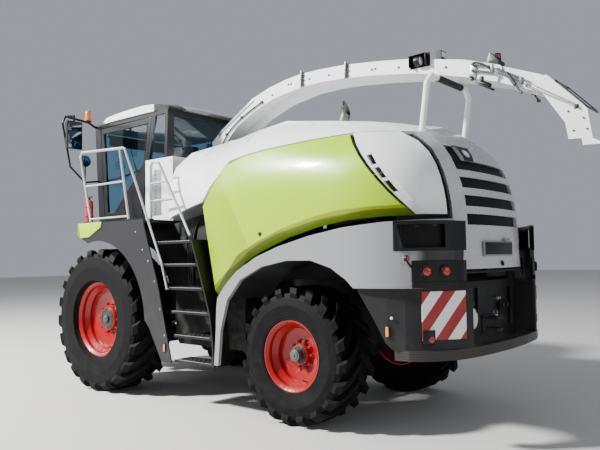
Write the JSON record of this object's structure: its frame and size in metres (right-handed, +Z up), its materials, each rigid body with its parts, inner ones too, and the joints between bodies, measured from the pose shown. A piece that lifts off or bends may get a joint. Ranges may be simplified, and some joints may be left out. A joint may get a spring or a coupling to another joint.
{
  "type": "forage harvester",
  "caption": "Self-propelled forage harvester with a slewing discharge spout, steered rear wheels, lifting side doors and tailgate, and a feed housing for a header.",
  "frame": {"origin": "on the ground at the middle of the machine's length and width", "axes": "+Z up, +X to the rear of the machine, the left side at -Y"},
  "size_m": [7.218, 2.982, 3.91],
  "materials": {
    "frame_paint": "satin dark grey paint",
    "rim_red": "semi-gloss red paint",
    "tyre": "matt rubber with lugs",
    "engine_grey": "painted castings",
    "tank_plastic": "black moulded plastic",
    "white_panel": "gloss white paint",
    "green_panel": "gloss yellow-green paint",
    "light_grey_panel": "gloss light grey paint",
    "mesh_black": "black mesh",
    "fender_grey": "silver grey moulding",
    "skirt_grey": "dark grey moulding",
    "lamp_box": "black moulding",
    "board_face": "reflective sheet with red stripes",
    "exhaust_steel": "heat-tinted steel",
    "cab_black": "black paint",
    "cab_glass": "tinted glass",
    "seat_cover": "dark woven fabric",
    "beacon_amber": "amber lens",
    "feeder_paint": "dark grey paint",
    "bare_steel": "worn steel",
    "chrome_rod": "polished rod"
  },
  "bodies": {
    "chassis": {"chassis": "frame_paint", "front_axle": "frame_paint", "rear_axle": "frame_paint", "engine_block": "engine_grey", "side_tanks": "tank_plastic", "crop_duct": "engine_grey", "hood": "white_panel", "cab_cover": "white_panel", "corner_panels": "white_panel", "rear_fenders": "fender_grey", "rear_skirts": "skirt_grey", "rear_lamps": "lamp_box", "warning_boards": "board_face", "hitch_frame": "frame_paint", "spout_rest": "white_panel", "exhaust": "exhaust_steel", "cab_frame": "cab_black", "cab_roof": "white_panel", "cab_glass": "cab_glass", "operator_seat": "seat_cover", "steering_column": "cab_black", "mirrors": "lamp_box", "beacon": "beacon_amber", "platform": "skirt_grey", "ladder": "frame_paint", "handrails": "white_panel"},
    "front_left_wheel": {"rim_front_left": "rim_red", "tyre_front_left": "tyre"},
    "front_right_wheel": {"rim_front_right": "rim_red", "tyre_front_right": "tyre"},
    "left_knuckle": {"knuckle_left": "frame_paint"},
    "right_knuckle": {"knuckle_right": "frame_paint"},
    "tie_rod": {"tie_rod": "frame_paint"},
    "rear_left_wheel": {"rim_rear_left": "rim_red", "tyre_rear_left": "tyre"},
    "rear_right_wheel": {"rim_rear_right": "rim_red", "tyre_rear_right": "tyre"},
    "left_side_door": {"side_door_left": "green_panel"},
    "right_side_door": {"side_door_right": "green_panel"},
    "tailgate": {"tailgate": "light_grey_panel", "tailgate_grille": "mesh_black"},
    "spout_turret": {"spout_turret": "white_panel"},
    "spout": {"spout_arch": "white_panel", "spout_lamps": "lamp_box"},
    "spout_flap": {"spout_flap": "white_panel"},
    "spout_tip": {"spout_tip": "white_panel"},
    "lift_barrel": {"lift_barrel": "frame_paint"},
    "lift_rod": {"lift_rod": "chrome_rod"},
    "cab_door": {"cab_door": "cab_black", "door_glass": "cab_glass"},
    "feed_housing": {"feed_housing": "feeder_paint"},
    "upper_roller": {"upper_roller": "bare_steel"},
    "lower_roller": {"lower_roller": "bare_steel"},
    "feeder_barrels": {"feeder_barrels": "frame_paint"},
    "feeder_rods": {"feeder_rods": "chrome_rod"}
  },
  "joints": [
    {"name": "front_left_spin", "type": "hinge", "parent": "chassis", "child": "front_left_wheel", "pos_m": [-2.175, -1.17, 0.915], "axis": [0, 1, 0], "continuous": true},
    {"name": "front_right_spin", "type": "hinge", "parent": "chassis", "child": "front_right_wheel", "pos_m": [-2.175, 1.17, 0.915], "axis": [0, 1, 0], "continuous": true},
    {"name": "steer_left", "type": "hinge", "parent": "chassis", "child": "left_knuckle", "pos_m": [0.995, -0.85, 0.695], "axis": [0, 0, 1], "range_deg": [-40, 40]},
    {"name": "steer_right", "type": "hinge", "parent": "chassis", "child": "right_knuckle", "pos_m": [0.995, 0.85, 0.695], "axis": [0, 0, 1], "range_deg": [-40, 40]},
    {"name": "tie_rod_swing", "type": "hinge", "parent": "left_knuckle", "child": "tie_rod", "pos_m": [0.745, -0.685, 0.483], "axis": [0, 0, 1], "range_deg": [-49, 49]},
    {"name": "rear_left_spin", "type": "hinge", "parent": "left_knuckle", "child": "rear_left_wheel", "pos_m": [0.995, -1.02, 0.695], "axis": [0, 1, 0], "continuous": true},
    {"name": "rear_right_spin", "type": "hinge", "parent": "right_knuckle", "child": "rear_right_wheel", "pos_m": [0.995, 1.02, 0.695], "axis": [0, 1, 0], "continuous": true},
    {"name": "left_door_lift", "type": "hinge", "parent": "chassis", "child": "left_side_door", "pos_m": [0.985, -1.173, 2.862], "axis": [-0.9929, -0.1008, -0.0629], "range_deg": [0, 60]},
    {"name": "right_door_lift", "type": "hinge", "parent": "chassis", "child": "right_side_door", "pos_m": [0.985, 1.173, 2.862], "axis": [0.9929, -0.1008, 0.0629], "range_deg": [0, 60]},
    {"name": "tailgate_lift", "type": "hinge", "parent": "chassis", "child": "tailgate", "pos_m": [2.17, 0, 2.945], "axis": [0, -1, 0], "range_deg": [0, 35]},
    {"name": "spout_slew", "type": "hinge", "parent": "chassis", "child": "spout_turret", "pos_m": [-0.9, 0, 3], "axis": [0, 0, 1], "range_deg": [-105, 105]},
    {"name": "spout_lift", "type": "hinge", "parent": "spout_turret", "child": "spout", "pos_m": [-1.215, 0, 3.215], "axis": [0, -1, 0], "range_deg": [0, 25]},
    {"name": "flap_swing", "type": "hinge", "parent": "spout", "child": "spout_flap", "pos_m": [2.79, 0, 3.478], "axis": [0, -1, 0], "range_deg": [-10, 35]},
    {"name": "tip_swing", "type": "hinge", "parent": "spout_flap", "child": "spout_tip", "pos_m": [3.226, 0, 3.296], "axis": [0, -1, 0], "range_deg": [-10, 35]},
    {"name": "lift_barrel_swing", "type": "hinge", "parent": "spout_turret", "child": "lift_barrel", "pos_m": [-0.65, 0.262, 3.13], "axis": [0, -1, 0], "range_deg": [0, 10]},
    {"name": "lift_rod_slide", "type": "slide", "parent": "lift_barrel", "child": "lift_rod", "axis": [-0.5963, 0, 0.8027], "range_m": [0, 0.25]},
    {"name": "cab_door_swing", "type": "hinge", "parent": "chassis", "child": "cab_door", "pos_m": [-2.945, -0.86, 2.93], "axis": [0.0771, 0, -0.997], "range_deg": [0, 28]},
    {"name": "feeder_lift", "type": "hinge", "parent": "chassis", "child": "feed_housing", "pos_m": [-2.33, 0, 1.08], "axis": [0, 1, 0], "range_deg": [-6, 20]},
    {"name": "upper_roller_spin", "type": "hinge", "parent": "feed_housing", "child": "upper_roller", "pos_m": [-3.09, 0, 1.16], "axis": [0, 1, 0], "continuous": true},
    {"name": "lower_roller_spin", "type": "hinge", "parent": "feed_housing", "child": "lower_roller", "pos_m": [-3.09, 0, 0.83], "axis": [0, 1, 0], "continuous": true},
    {"name": "feeder_barrel_swing", "type": "hinge", "parent": "chassis", "child": "feeder_barrels", "pos_m": [-2.42, 0, 0.52], "axis": [0, 1, 0], "range_deg": [-8, 20]},
    {"name": "feeder_rod_slide", "type": "slide", "parent": "feeder_barrels", "child": "feeder_rods", "axis": [-0.9748, 0, 0.223], "range_m": [-0.12, 0.25]}
  ],
  "couplings": [
    {"joint": "steer_right", "follows": "steer_left", "ratio": 1},
    {"joint": "tie_rod_swing", "follows": "steer_left", "ratio": -1.22},
    {"joint": "tip_swing", "follows": "flap_swing", "ratio": 1},
    {"joint": "lift_barrel_swing", "follows": "spout_lift", "ratio": 0.177},
    {"joint": "lift_rod_slide", "follows": "spout_lift", "m_per_rad": 0.3918},
    {"joint": "lower_roller_spin", "follows": "upper_roller_spin", "ratio": -1},
    {"joint": "feeder_barrel_swing", "follows": "feeder_lift", "ratio": 0.858},
    {"joint": "feeder_rod_slide", "follows": "feeder_lift", "m_per_rad": 0.5566}
  ]
}
